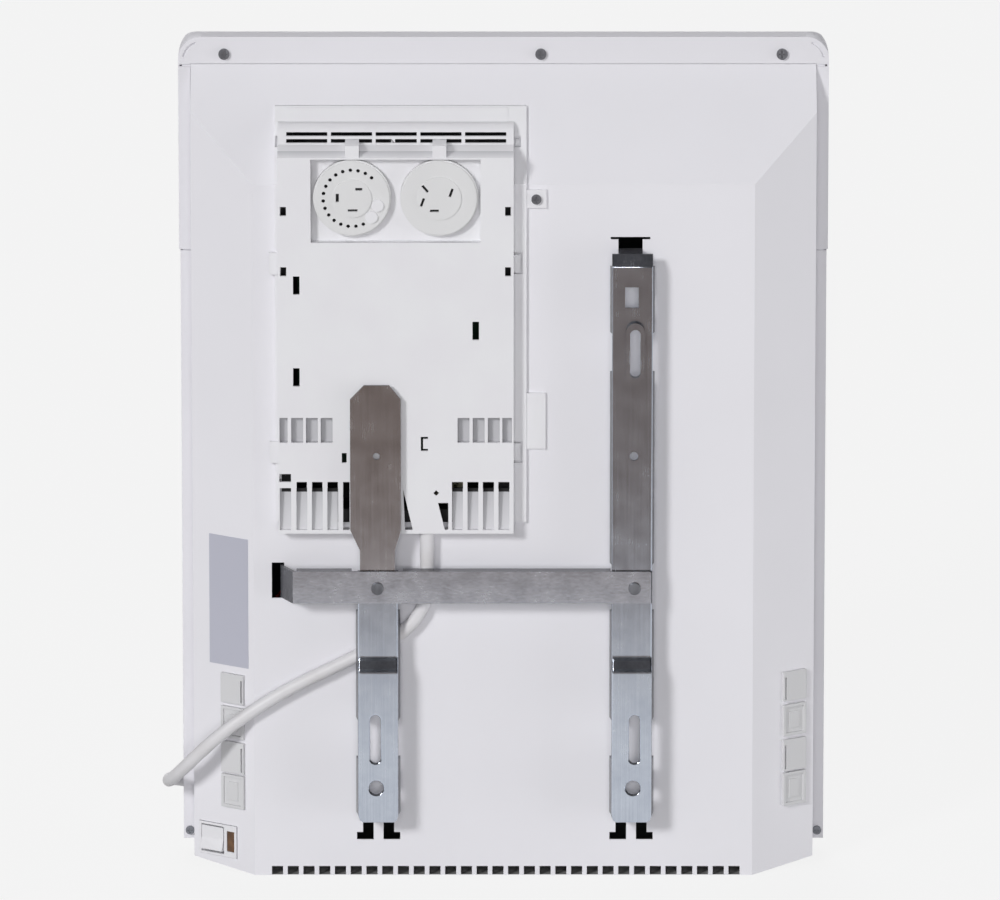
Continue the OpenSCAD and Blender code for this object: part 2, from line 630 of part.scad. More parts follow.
module control_box_cover() {
    // Profile: face, slope above the dials, strip with the vents, round top edge
    vent_t = frame_t + vent_rise;
    arc_mid = [facet_y(vent_z[1], vent_t), vent_z[1]] - box_top_r * [cos(facet_tilt), sin(facet_tilt)];
    arc = [for (i = [0:5]) let (a = facet_tilt + (90 - facet_tilt) * i / 5)
        arc_mid + box_top_r * [cos(a), sin(a)]];
    shell = concat([[y_face - 30, box_z], [y_box, box_z], [y_box, recess_top + 0.3],
        [facet_y(vent_z[0], vent_t), vent_z[0]]], arc, [[y_face - 30, arc[5][1]]]);
    vent_n = 5;
    vent_pitch = (box_w - 6.5) / vent_n;
    vent_w = vent_pitch - 1.9;
    vent_x = box_x - 0.3;
    vent_h = 1.85;
    vent_rows = [vent_z[0] + 0.7, vent_z[0] + 3.9];
    nose_z = vent_z[0] + 2.4;
    face = [y_box - box_wall - 1, y_box + 1];
    pocket = [y_box - 4, y_box + 1];
    up_z = [frame_z + 44.6, frame_z + 58];
    low_z = [frame_z + 19.2, frame_z + 23.5];
    color(white) difference() {
        union() {
            difference() {
                along_x(box_l, box_r) polygon(shell);
                along_x(box_l + box_wall, box_r - box_wall) polygon(inset(shell, box_wall));
            }
            // Thin flange on the frame above the round edge
            facet_strip([box_l + 3, box_r - 4.3], [frame_t - 1, frame_t + 0.5],
                [arc[5][1] - 1.5, roof_z - 0.2]);
            // Backing for the dial recess and for both rows of pockets
            block([box_x - recess_w / 2 - box_wall, box_x + recess_w / 2 + box_wall],
                [y_recess - box_wall, y_box - 1], [recess_z - box_wall, recess_top + 0.3]);
            for (x = [[box_l + 0.5, box_l + 32], [box_r - 31, box_r - 0.5]]) {
                block(x, [y_box - 6.7, y_box - 1], [up_z[0] - 1.5, up_z[1] + 1.5]);
                block(x, [y_box - 5.5, y_box - 1], [box_z + 0.5, low_z[0]]);
            }
            // Snap tabs that lie on the frame on the cord side
            for (z = tab_zs) block([box_r - 1, box_r + 4.6], [y_face + frame_t, y_face + frame_t + 1.4],
                [z - 5.8, z + 5.8]);
        }
        along_x(box_l - 10, box_r + 10) pan_side(-frame_t, y_pan - 1);
        block([box_x - recess_w / 2, box_x + recess_w / 2], [y_recess, y_box + 1],
            [recess_z, recess_top - 0.6]);
        for (x = dial_xs) rod_y(x, dial_z, y_recess - 3, y_recess + 1, stem_d + 3);
        // Two rows of vents
        for (z = vent_rows) row(vent_x - 2 * vent_pitch, vent_pitch, vent_n, vent_w,
            [facet_y(z, vent_t) - 4, facet_y(z, vent_t) + 1], [z, z + vent_h]);
        // Small windows in the face
        for (x = [box_l + 2.9, box_r - 2.9]) for (z = [frame_z + 136.4, frame_z + 168.6])
            block([x - 1.6, x + 1.6], face, [z - 2.4, z + 2.4]);
        for (p = [[108, 129], [14.5, 104.7], [108.1, 79.8]])
            block([p[0] - 1.7, p[0] + 1.7], face, [frame_z + p[1] - 4.9, frame_z + p[1] + 4.9]);
        block([82, 84.5], face, [frame_z + 33.8, frame_z + 39.1]);
        block([42, 43.2], face, [frame_z + 40.2, frame_z + 47.8]);
        block([39.5, 42.5], face, [frame_z + 46.6, frame_z + 47.8]);
        block([39.5, 42.5], face, [frame_z + 40.2, frame_z + 41.4]);
        translate([35.2, y_box, frame_z + 17.5]) rotate([0, 45, 0]) cube([2.2, 5, 2.2], center = true);
        // Upper pockets, then lower windows with a tapered pocket under each
        row(92.4, 7.7, 3, 6.2, pocket, up_z);
        block([112.8, box_r - 0.7], pocket, up_z);
        row(5.1, 7.9, 3, 6.2, pocket, up_z);
        block([box_l + 0.9, 0.6], pocket, up_z);
        row(89.3, 8.1, 3, 5.4, [y_box - 7, y_box + 1], low_z);
        block([80.5, 83.9], [y_box - 7, y_box + 1], low_z);
        block([111.1, box_r - 0.5], [y_box - 7, y_box + 1], [low_z[1], low_z[1] + 4.3]);
        row(-0.2, 8.1, 4, 5.8, [y_box - 7, y_box + 1], low_z);
        for (x = [[-3, 2.6], [5.1, 10.7], [13.2, 18.8], [21.3, 26.9], [80.5, 83.9], [86.5, 92.1],
                [94.6, 100.2], [102.7, 108.3], [111.1, box_r - 0.7]])
            along_x(x[0], x[1])
                polygon([[y_box - 3.8, low_z[0] + 1], [y_box + 1, low_z[0] + 1], [y_box + 1, box_z + 2],
                    [y_box - 2.2, box_z + 2]]);
        // Cord clamp tongue: a narrow wedge on one side, a wide one on the other
        along_y(face[0], face[1]) {
            polygon([[52.5, frame_z + 19.5], [51.5, frame_z - 2.4], [47.5, frame_z - 2.4]]);
            polygon([[34.3, frame_z + 12.2], [28.9, frame_z + 12.2], [28.9, frame_z - 2.2],
                [30.7, frame_z - 2.4]]);
        }
        // Hole for the strain relief
        translate([cord_exit[0], cord_exit[1], box_z - 2]) cylinder(h = 5, d = relief_neck + 2 * fit);
    }
    color(white) {
        // Snap tabs that lie in the frame's windows on the lug side
        for (z = tab_zs) block([box_l - 3.6, box_l + 0.7], [y_face + 0.6, y_face + frame_t + 0.5],
            [z - 4.6, z + 4.6]);
        // Pointer noses on the slope above the dials, and a rib in the middle of the lower vents
        for (x = dial_xs) along_x(x - 3.6, x + 3.6)
            polygon([[y_box - 0.2, recess_top - 0.5], [y_box - 0.2, nose_z],
                [facet_y(nose_z, vent_t - 1), nose_z], [facet_y(vent_z[0], vent_t - 1), vent_z[0] - 0.5]]);
        facet_strip([vent_x + 0.6, vent_x + 2.6], [vent_t - box_wall, vent_t],
            [vent_rows[0] - 0.3, vent_rows[0] + vent_h + 0.3]);
    }
}

// Dial: rim, raised hub and a stem that turns in the part behind the board
module dial_body(x, hub_d) {
    rod_y(x, dial_z, y_dial, y_dial_face - 1, dial_d);
    rod_y(x, dial_z, y_dial_face - 1 - e, y_dial_face, dial_d - 1.6);
    rod_y(x, dial_z, y_dial_face - e, y_dial_face + 0.7, hub_d);
    rod_y(x, dial_z, stem_end, y_dial + e, stem_d);
}
module temperature_dial() {
    x = dial_xs[0];
    color(white) difference() {
        dial_body(x, 20.4);
        for (i = [0:stop_hole_n - 1]) {
            a = 46.8 + i * 15.4;
            rod_y(x - stop_row_r * cos(a), dial_z + stop_row_r * sin(a), y_dial_face - 2.4,
                y_dial_face + 1, stop_hole_d);
        }
        for (p = pin_places)
            rod_y(x + p[0], dial_z + p[1], y_dial_face - 3, y_dial_face + 1, pin_shank_d + 2 * fit);
        for (p = [[7.6, 0.4, 1.6, 4.4], [-0.4, -6.3, 5, 1.2], [-3.6, 5, 3.6, 1.4]])
            block([x + p[0] - p[2] / 2, x + p[0] + p[2] / 2], [y_dial_face - 1, y_dial_face + 1],
                [dial_z + p[1] - p[3] / 2, dial_z + p[1] + p[3] / 2]);
    }
}
module mode_dial() {
    x = dial_xs[1];
    color(white) difference() {
        dial_body(x, 22.8);
        for (p = [[7.4, 5.2, 40], [8.8, -2, -20], [2.6, -6.5, 90], [-6.1, 3.1, -20]])
            translate([x + p[0], y_dial_face, dial_z + p[1]]) rotate([0, p[2], 0])
                cube([1.3, 2, 4.6], center = true);
    }
}
module limit_pin(p) {
    x = dial_xs[0] + p[0];
    z = dial_z + p[1];
    color(white) {
        rod_y(x, z, y_dial_face, y_dial_face + 1, pin_head_d);
        rod_y(x, z, y_dial_face - 2.8, y_dial_face + e, pin_shank_d);
    }
}
module limit_pin_low() { limit_pin(pin_places[0]); }
module limit_pin_high() { limit_pin(pin_places[1]); }

module control_board() {
    color("darkgreen") block([tray_x0 + 4, tray_x1 - 4], [y_board, y_board + board_t],
        [tray_z0 + 24, board_z1]);
}
module stem_socket(x, w, y1) {
    difference() {
        block([x - w / 2, x + w / 2], [y_board + board_t, y1], [dial_z - w / 2, dial_z + w / 2]);
        rod_y(x, dial_z, stem_end - 1, y1 + 1, stem_d + 2 * fit);
    }
}
module potentiometer() { color("royalblue") stem_socket(dial_xs[0], 17, y_socket); }
module mode_switch() { color("dimgray") stem_socket(dial_xs[1], 20, y_socket); }

module terminal_block() {
    z = tray_z0 + box_wall;
    color("ivory") difference() {
        block([20, 62], [y_tray + box_wall, y_tray + box_wall + 14], [z + 4, z + 18]);
        for (i = [0:3]) rod_y(26 + i * 10, z + 11, y_tray + box_wall + 5, y_tray + 20, 5);
        for (i = [0:3]) translate([26 + i * 10, y_tray + box_wall + 6, z - 1]) cylinder(h = 24, d = 3);
    }
}

// Finned aluminium heater bar on two ceramic bushes
module heating_element() {
    hl = element_l / 2 - 8;
    color("silver") {
        rod_x(element_y, element_z, element_x - hl, element_x + hl, 13);
        for (a = [35, -35]) translate([element_x, element_y, element_z]) rotate([a, 0, 0])
            cube([2 * hl - 6, 1.6, 46], center = true);
        rod_x(element_y, element_z, element_x - element_l / 2 - 6, element_x + element_l / 2 + 6, 5);
    }
}
module element_bushes() {
    color("linen") for (s = [-1, 1]) difference() {
        union() {
            rod_x(element_y, element_z, element_x + s * element_l / 2 - 6,
                element_x + s * element_l / 2 + 6, bush_d);
            rod_x(element_y, element_z, element_x + s * (element_l / 2 - 3.5) - 2.5,
                element_x + s * (element_l / 2 - 3.5) + 2.5, bush_d + 5);
        }
        rod_x(element_y, element_z, element_x + s * element_l / 2 - 9, element_x + s * element_l / 2 + 9,
            5 + 2 * fit);
    }
}
module element_mounts() {
    color("lightgray") for (s = [-1, 1]) {
        x = element_x + s * (element_l / 2 - 1);
        xs = s > 0 ? [x, x + sheet] : [x - sheet, x];
        foot = s > 0 ? [x - 9, x] : [x, x + 9];
        difference() {
            block(xs, [element_y - 20, shield_y], [sheet, element_z + 20]);
            rod_x(element_y, element_z, x - 5, x + 5, bush_d + 2 * fit);
        }
        block(foot, [element_y - 20, shield_y], [sheet, 2 * sheet]);
    }
}
module heat_shield() {
    color("gainsboro") {
        block([element_x - element_l / 2 - 4, element_x + element_l / 2 + 4], [shield_y, shield_y + sheet],
            shield_z);
        block([element_x - element_l / 2 - 4, element_x + element_l / 2 + 4], [shield_y, y_face - sheet],
            [shield_z[1] - sheet, shield_z[1]]);
    }
}
module thermal_cutout() {
    color("black") {
        rod_y(cutout[0], cutout[1], shield_y - 6, shield_y, cutout_d);
        block([cutout[0] - 10, cutout[0] + 10], [shield_y - 1, shield_y], [cutout[1] - 4, cutout[1] + 4]);
    }
}

module internal_leads() {
    y = y_tray + 6.5;
    z = tray_z0 + box_wall + 3.7;
    lead_d = 2.4;
    end_l = element_x + element_l / 2 + 6;
    end_r = element_x - element_l / 2 - 6;
    color("firebrick") {
        tube([[32, y, z], [32, y, z - 8], [34, y - 1, z - 14], [50, y - 5, z - 24],
            [end_l - 31, element_y + 4, element_z + 82], [end_l + 1, element_y + 1, element_z + 66],
            [end_l + 12, element_y, element_z + 54], [end_l + 14, element_y, element_z + 36],
            [end_l + 13, element_y, element_z + 16], [end_l + 8, element_y, element_z + 5],
            [end_l + 4, element_y, element_z], [end_l, element_y, element_z]], lead_d, 6);
        tube([[28, y, z], [28, y, z - 8], [26, y - 1, z - 14], [10, y - 5, z - 26],
            [end_r + 71, element_y + 4, element_z + 72], [end_r + 7, element_y + 1, element_z + 62],
            [end_r - 10, element_y, element_z + 52], [end_r - 14, element_y, element_z + 36],
            [end_r - 13, element_y, element_z + 16], [end_r - 8, element_y, element_z + 4],
            [end_r - 4, element_y, element_z], [end_r, element_y, element_z]], lead_d, 6);
    }
}
module room_sensor() {
    color("dimgray") {
        translate([sensor_x, element_y, sheet]) cylinder(h = 12, d = 2.4);
        translate([sensor_x, element_y, sheet + 12 - e]) cylinder(h = 9, d = 5);
        translate([sensor_x, element_y, sheet]) cylinder(h = 1, d = 5);
    }
}

// Power switch in the slanted wall: body, rocker on its own pins, amber lens
module power_switch_body() {
    hl = switch_l / 2;
    hh = switch_h / 2;
    color(white) on_slant(1) difference() {
        union() {
            block([switch_u - hl, switch_u + hl], [-13, 0.6], [switch_z - hh, switch_z + hh]);
            block([switch_u - hl - 1.4, switch_u + hl + 0.8], [-sheet - 1.2, -sheet],
                [switch_z - hh - 0.6, switch_z + hh + 1.4]);
        }
        block([rocker_u[0] - 0.4, rocker_u[1] + 0.4], [-8.5, 2], [switch_z - hh + 1.2, switch_z + hh - 1.2]);
        rod_x(rocker_n, rocker_mid, rocker_u[0] - 1.4, rocker_u[1] + 1.4, 2 * pin_r + 2 * fit);
        block([switch_u - hl + 1.4, rocker_u[0] - 2.2], [-3, 2], [switch_z - 5.6, switch_z + 5.6]);
    }
}
module power_rocker() {
    hh = switch_h / 2 - 1.9;
    color(white) on_slant(1) {
        translate([0, rocker_n, rocker_mid]) rotate([rest_tilt, 0, 0]) translate([0, -rocker_n, -rocker_mid])
            along_x(rocker_u[0], rocker_u[1])
                polygon([[-4.4, rocker_mid - hh + 2.4], [-4.4, rocker_mid + hh - 2.4],
                    [-1.2, rocker_mid + hh - 0.5], [1.6, rocker_mid + hh - 0.5], [0.7, rocker_mid],
                    [1.6, rocker_mid - hh + 0.5], [-1.2, rocker_mid - hh + 0.5]]);
        rod_x(rocker_n, rocker_mid, rocker_u[0] - 1.2, rocker_u[1] + 1.2, 2 * pin_r);
    }
}
module switch_lens() {
    color("#6b4a2c") on_slant(1)
        block([switch_u - switch_l / 2 + 1.5, rocker_u[0] - 2.3], [-3, 0.2],
            [switch_z - 5.5, switch_z + 5.5]);
}

// Clip plates for push-on floor feet, at different places on the two slanted walls
socket_us = [13.2, 26.2];
module foot_sockets(side, u) {
    z_ranges = [[92, 108], [73, 90], [54, 71], [35, 53]];
    hw = socket_w / 2;
    color(white) on_slant(side) for (i = [0:3]) {
        z = z_ranges[i];
        difference() {
            block([u - hw, u + hw], [0, 1.8], z);
            if (i % 2 == 1) block([u - hw + 1.6, u + hw - 1.6], [0.8, 3], [z[0] + 1.6, z[1] - 1.6]);
            if (i % 2 == 0) block([u - hw + 0.8, u - hw + 1.8], [-1, 3], [z[0] + 1, z[1] - 3]);
        }
        if (i % 2 == 1) block([u - hw + 4, u + hw - 4], [0.7, 1.4], [z[0] + 4, z[1] - 4]);
    }
}
module foot_sockets_left() { foot_sockets(1, socket_us[0]); }
module foot_sockets_right() { foot_sockets(-1, socket_us[1]); }

module rating_plate() {
    color("#b9bccb") on_slant(1) block([3.6, 3.6 + plate_w], [0, 0.3], [plate_z, plate_z + plate_h]);
}

// Side flanges of a leg between two heights, from the web back to the flange line
module leg_flanges(x, z0, z1, y1) {
    for (s = [-1, 1]) {
        edge = x + s * (leg_w / 2 - steel / 2);
        block([edge - steel / 2, edge + steel / 2], [y_flange, y1], [z0, z1]);
    }
}
// Lower part that both legs share: lower web, joggle, hooks
module leg_lower(x) {
    xs = [x - leg_w / 2, x + leg_w / 2];
    along_y(y_wall - steel, y_wall) polygon([[xs[0] + 2.4, leg_z], [xs[1] - 2.4, leg_z],
        [xs[1] - 0.8, leg_z + 1.2], [xs[1], leg_z + 3.6], [xs[1], joggle_z], [xs[0], joggle_z],
        [xs[0], leg_z + 3.6], [xs[0] + 0.8, leg_z + 1.2]]);
    along_x(xs[0], xs[1]) polygon([[y_wall - steel, joggle_z], [y_wall, joggle_z],
        [y_up, joggle_z + joggle_h], [y_up - steel, joggle_z + joggle_h]]);
    leg_flanges(x, leg_z + 3.6, slot_z - 11, y_wall - e);
    leg_flanges(x, slot_z + 10, joggle_z, y_wall - e);
    leg_flanges(x, joggle_z - e, bar_z - 5, y_up - e);
    // Neck and lip of each hook
    for (u = hook_us) {
        block([x + u - 2.2, x + u + 2.2], [hook_end, y_wall - e], [neck_z, neck_z + steel]);
        block([x + u - 2.2, x + u + 2.2], [hook_end, hook_end + steel], [neck_z - 4.5, neck_z + steel]);
    }
}

module bracket_right_leg() {
    x = leg_r_x;
    xs = [x - leg_w / 2, x + leg_w / 2];
    color(steel_grey) difference() {
        union() {
            leg_lower(x);
            block(xs, [y_up - steel, y_up], [joggle_z + joggle_h, leg_top]);
            leg_flanges(x, bar_z + bar_h + 3, slot_z + slot_gap - 11, y_up - e);
            leg_flanges(x, slot_z + slot_gap + 10, leg_top, y_up - e);
            // Sloped head and the tongue that enters the pan
            along_x(xs[0], xs[1]) polygon([[y_up, leg_top], [y_up - steel, leg_top],
                [y_up - 4.2, tongue_z], [y_up - 4.2, tongue_z + steel], [y_up - 3.4, tongue_z + steel]]);
            block([x + 1 - tongue_w / 2, x + 1 + tongue_w / 2], [y_face - 3, y_up - 4],
                [tongue_z, tongue_z + steel]);
            // Raised rim of the upper wall slot
            slot_y(slot_x, slot_z + slot_gap, slot_w + 4, slot_len + 7, y_up - steel, y_wall);
        }
        for (z = [slot_z, slot_z + slot_gap])
            slot_y(slot_x, z, slot_w, slot_len, y_up - 5, y_wall + 1);
        block([x - 3.2, x + 3.9], [y_up - 5, y_wall], [leg_top - 21.4, leg_top - 10.3]);
        rod_y(x - 0.9, web_hole_z, y_up - 5, y_wall, 4.6);
        rod_y(x - 0.8, foot_hole[1], y_wall - 5, y_wall + 1, foot_hole[0]);
        rod_y(x - 1.4, rivet_z, y_up - 5, y_wall, rivet_d + 2 * fit);
    }
}

module bracket_left_leg() {
    x = leg_l_x;
    hw = tab_w / 2;
    mid = x + 1.1;
    color(steel_grey) difference() {
        union() {
            leg_lower(x);
            block([x - leg_w / 2, x + leg_w / 2], [y_up - steel, y_up], [joggle_z + joggle_h, bar_z + bar_h]);
            along_y(y_up - steel, y_up) polygon([[mid - hw, tab_top - 7.5], [mid - hw, bar_z + bar_h + 22],
                [mid - hw + 3.2, bar_z + bar_h + 11], [mid - hw + 3.2, bar_z + 5], [mid + hw - 5, bar_z + 5],
                [mid + hw - 5, bar_z + bar_h + 11], [mid + hw, bar_z + bar_h + 22], [mid + hw, tab_top - 7.5],
                [mid + hw - 7.2, tab_top], [mid - hw + 6, tab_top]]);
        }
        slot_y(slot_l_x, slot_z, slot_w, slot_len, y_wall - 5, y_wall + 1);
        rod_y(mid - 0.5, web_hole_z, y_up - 5, y_wall, 3.6);
        rod_y(x + 1, foot_hole[1], y_wall - 5, y_wall + 1, foot_hole[0]);
        rod_y(x + 0.2, rivet_z, y_up - 5, y_wall, rivet_d + 2 * fit);
    }
}

module bracket_crossbar() {
    z1 = bar_z + bar_h;
    tip = bar_end[1];
    color(steel_grey) difference() {
        union() {
            along_z(bar_z, z1) polygon([[leg_r_x - leg_w / 2, y_up], [bar_end[0], y_up],
                [tip - 0.6, y_face + 2], [tip - 0.6, y_face - 3], [tip + 0.9, y_face - 3],
                [tip + 0.9, y_face + 2.3], [bar_end[0] + 0.9, y_bar], [leg_r_x - leg_w / 2, y_bar]]);
            // Stiffening flanges, left open where the legs cross
            for (z = [[bar_z, bar_z + steel], [z1 - steel, z1]]) {
                block([leg_r_x + leg_w / 2 + 0.5, leg_l_x - tab_w / 2], [y_flange, y_bar - e], z);
                block([leg_l_x + tab_w / 2 + 0.5, bar_end[0] - 1], [y_flange, y_bar - e], z);
            }
        }
        for (p = rivet_xs) rod_y(p, rivet_z, y_up - 5, y_wall, rivet_d + 2 * fit);
    }
}
module bracket_rivets() {
    color("silver") for (x = rivet_xs) {
        rod_y(x, rivet_z, y_up - steel - e, y_bar + e, rivet_d);
        rod_y(x, rivet_z, y_bar, y_bar + 1.1, rivet_head_d);
        rod_y(x, rivet_z, y_up - steel - 1.1, y_up - steel, rivet_head_d);
    }
}

// Strain relief: neck in the cover's lower wall, collar inside, tapered sleeve outside
module strain_relief() {
    color(white) translate([cord_exit[0], cord_exit[1], 0]) {
        translate([0, 0, box_z - e]) cylinder(h = box_wall + 0.1 + 2 * e, d = relief_neck);
        block([-5, 5], [-2.8, 2.8], [box_z + box_wall + 0.1, box_z + box_wall + 2]);
        translate([0, 0, cord_exit[2]])
            cylinder(h = box_z - cord_exit[2] - 0.1, d1 = cord_d + 0.2, d2 = cord_d + 0.8);
        translate([0, 0, box_z - 0.2]) cylinder(h = 0.3, d = relief_neck);
    }
}
module supply_cord() { color(white) tube(cord_route, cord_d, cord_sides); }
module cord_coil() { color(white) tube(coil_path, cord_d, coil_sides); }

// Three bare-ended cores that come out of the cord's end
module cord_cores() {
    bend_r = 9;
    core_d = 1.9;
    translate(coil_end) rotate([0, 0, coil_end_turn]) for (i = [0:2]) {
        side = [-1.6, 0, 1.6][i];
        lift = [-0.9, 1.1, -0.9][i];
        path = concat([[0, side, lift]], [for (a = [0:15:75])
            [2 + (bend_r - side) * sin(a), bend_r - (bend_r - side) * cos(a), lift]]);
        color(["saddlebrown", "royalblue", "black"][i]) tube(path, core_d, 8);
        color("peru") translate(path[6]) rotate([0, 90, 67.5]) translate([0, 0, -e]) cylinder(h = 5, d = 1.2);
    }
}

// Flat strap round the turns of the coil
module cord_tie() {
    a = 200;
    r0 = coil_r - coil_pitch * (a - 90) / 360 + cord_d / 2 + 0.5;
    r1 = r0 - coil_pitch * (ceil(coil_turns - (a - 90) / 360) - 1) - cord_d - 1;
    color("dimgray") translate([coil_mid[0], coil_mid[1], 0]) rotate([0, 0, a]) difference() {
        block([r1 - 1, r0 + 1], [-3, 3], [0, coil_mid[2] + cord_d / 2 + 1.3]);
        block([r1, r0], [-4, 4], [coil_mid[2] - cord_d / 2 - 0.1, coil_mid[2] + cord_d / 2 + 0.3]);
    }
}

rear_panel();
front_hood();
front_panel();
outlet_grille();
hood_screws();
side_screws();
control_box_frame();
control_box_cover();
box_screw();
temperature_dial();
mode_dial();
limit_pin_low();
limit_pin_high();
control_board();
potentiometer();
mode_switch();
terminal_block();
heating_element();
element_bushes();
element_mounts();
heat_shield();
thermal_cutout();
internal_leads();
room_sensor();
power_switch_body();
power_rocker();
switch_lens();
foot_sockets_left();
foot_sockets_right();
rating_plate();
bracket_right_leg();
bracket_left_leg();
bracket_crossbar();
bracket_rivets();
strain_relief();
supply_cord();
cord_coil();
cord_cores();
cord_tie();
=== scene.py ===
import math

import bpy
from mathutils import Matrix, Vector


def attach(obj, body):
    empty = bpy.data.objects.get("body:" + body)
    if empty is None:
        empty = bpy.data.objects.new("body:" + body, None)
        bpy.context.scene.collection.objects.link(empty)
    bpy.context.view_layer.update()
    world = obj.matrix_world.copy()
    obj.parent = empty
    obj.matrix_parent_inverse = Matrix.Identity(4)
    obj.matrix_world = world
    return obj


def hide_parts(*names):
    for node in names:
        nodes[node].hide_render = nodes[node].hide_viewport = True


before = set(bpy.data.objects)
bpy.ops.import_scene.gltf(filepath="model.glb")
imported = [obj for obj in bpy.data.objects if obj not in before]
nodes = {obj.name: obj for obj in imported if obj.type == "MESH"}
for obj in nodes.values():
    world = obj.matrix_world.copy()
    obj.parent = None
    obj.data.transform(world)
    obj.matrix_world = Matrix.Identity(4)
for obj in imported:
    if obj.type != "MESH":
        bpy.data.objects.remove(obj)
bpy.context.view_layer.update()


# Camera: a long lens, seven metres behind the heater and a little above it.
# From there both dials, the upper facet and the bracket show as in the photograph.
def aim(thing, target):
    thing.rotation_euler = (Vector(target) - thing.location).to_track_quat("-Z", "Y").to_euler()


camera_rise = math.radians(14)
camera_distance = 7.0
look_at = (0.00184, 0.0, 0.22525)
camera = bpy.data.objects.new("camera", bpy.data.cameras.new("camera"))
bpy.context.scene.collection.objects.link(camera)
camera.location = (look_at[0], camera_distance * math.cos(camera_rise),
                   look_at[2] + camera_distance * math.sin(camera_rise))
aim(camera, look_at)
camera.data.sensor_width = 36
camera.data.lens = 480
camera.data.clip_end = 100
camera.data.dof.use_dof = False
bpy.context.scene.camera = camera
bpy.context.scene.view_settings.view_transform = "Standard"


# Supply cord: 0.99 m of round white PVC lead, 7 mm thick, clamped where it leaves the box's lower wall.
# It passes behind the bracket and round the side, and the rest lies coiled in front, held by a tie.
def linear(colour):
    # From an sRGB hex value to the linear colour that a shader takes
    parts = [int(colour[i:i + 2], 16) / 255 for i in (1, 3, 5)]
    return [c / 12.92 if c < 0.04045 else ((c + 0.055) / 1.055) ** 2.4 for c in parts] + [1.0]


def add_node(tree, kind, values=None, stops=(), **settings):
    # A node with its settings, its sockets' values or links, and the stops of its ramp
    made = tree.nodes.new(kind)
    for name, value in settings.items():
        setattr(made, name, value)
    for socket, value in (values or {}).items():
        if isinstance(value, bpy.types.NodeSocket):
            tree.links.new(value, made.inputs[socket])
        else:
            made.inputs[socket].default_value = value
    for index, (position, colour) in enumerate(stops):
        made.color_ramp.elements[index].position = position
        made.color_ramp.elements[index].color = linear(colour)
    return made


def new_finish(name):
    finish = bpy.data.materials.new(name)
    finish.use_nodes = True
    return finish, finish.node_tree, finish.node_tree.nodes["Principled BSDF"]


def place(tree, stretch=(1, 1, 1)):
    # The point on the piece in metres, or counted in the cells that the stretch gives
    where = add_node(tree, "ShaderNodeTexCoord").outputs["Object"]
    return add_node(tree, "ShaderNodeMapping", {"Vector": where, "Scale": stretch}).outputs["Vector"]


def clouds(tree, cell, stops, detail=3):
    # Two tones that drift into each other, in clouds as wide as the cell, in metres
    drift = add_node(tree, "ShaderNodeTexNoise", {"Vector": place(tree), "Scale": 1 / cell, "Detail": detail})
    return add_node(tree, "ShaderNodeValToRGB", {"Fac": drift.outputs["Fac"]}, stops).outputs["Color"]


def raise_grain(tree, body, cell, strength, depth):
    # Pimples as wide as the cell and as high as the depth, in metres
    grain = add_node(tree, "ShaderNodeTexNoise", {"Vector": place(tree), "Scale": 1 / cell, "Detail": 2})
    bump = add_node(tree, "ShaderNodeBump", {"Height": grain.outputs["Fac"], "Strength": strength,
                                             "Distance": depth})
    tree.links.new(bump.outputs["Normal"], body.inputs["Normal"])


def wear_finish(piece, finish):
    piece.data.materials.clear()
    piece.data.materials.append(finish)


def pvc_sheath(name, light, shade):
    # Extruded PVC: smooth, faintly waxy, with handling marks about 15 mm long
    finish, tree, body = new_finish(name)
    tone = clouds(tree, 0.015, ((0.3, shade), (0.6, light)), detail=4)
    tree.links.new(tone, body.inputs["Base Color"])
    body.inputs["Roughness"].default_value = 0.42
    raise_grain(tree, body, 0.0006, 0.1, 0.00005)
    return finish


cord_thickness = 0.007
cord_exit = (0.040, 0.027, 0.168)
route = [
    cord_exit, (0.040, 0.027, 0.160), (0.0415, 0.027, 0.150), (0.046, 0.027, 0.141), (0.054, 0.027, 0.133),
    (0.064, 0.027, 0.127), (0.076, 0.027, 0.121), (0.092, 0.027, 0.113), (0.108, 0.027, 0.105),
    (0.122, 0.027, 0.097), (0.136, 0.0265, 0.0875), (0.148, 0.0255, 0.078), (0.158, 0.023, 0.0685),
    (0.167, 0.018, 0.0585), (0.1735, 0.009, 0.050), (0.1765, -0.004, 0.0445), (0.1765, -0.019, 0.041),
    (0.1745, -0.032, 0.0375), (0.167, -0.044, 0.033), (0.154, -0.0505, 0.0275), (0.137, -0.051, 0.021),
    (0.120, -0.049, 0.0145), (0.104, -0.0472, 0.009), (0.088, -0.0465, 0.0055), (0.072, -0.0465, 0.0045),
    (0.050, -0.0465, 0.0045), (0.027, -0.0465, 0.0045),
]
coil_radius = 0.0465
coil_pitch = 0.0075
coil_turns = 2.5
coil_steps = 24
coil_x, coil_start_y, coil_z = 0.020, -0.0465, 0.0045
coil_centre = Vector((coil_x, coil_start_y - coil_radius, coil_z))
coil = []
for step in range(round(coil_steps * coil_turns) + 1):
    turn = math.radians(90 + 360 * step / coil_steps)
    reach = coil_radius - coil_pitch * step / coil_steps
    coil.append(coil_centre + Vector((reach * math.cos(turn), reach * math.sin(turn), 0)))
# The last bit is as long as the lead is thick, and points 10 degrees inside the coil's tangent
end_turn = math.radians(180 + 360 * coil_turns + 10)
cord_end = coil[-1] + cord_thickness * Vector((math.cos(end_turn), math.sin(end_turn), 0))
course = route + coil + [cord_end]

line = bpy.data.curves.new("lead", "CURVE")
line.dimensions = "3D"
line.bevel_depth = cord_thickness / 2
line.bevel_resolution = 6
line.resolution_u = 6
line.use_fill_caps = True
spline = line.splines.new("BEZIER")
spline.bezier_points.add(len(course) - 1)
for knot, point in zip(spline.bezier_points, course):
    knot.co = point
    knot.handle_left_type = knot.handle_right_type = "AUTO"
cord = bpy.data.objects.new("lead", line)
bpy.context.scene.collection.objects.link(cord)

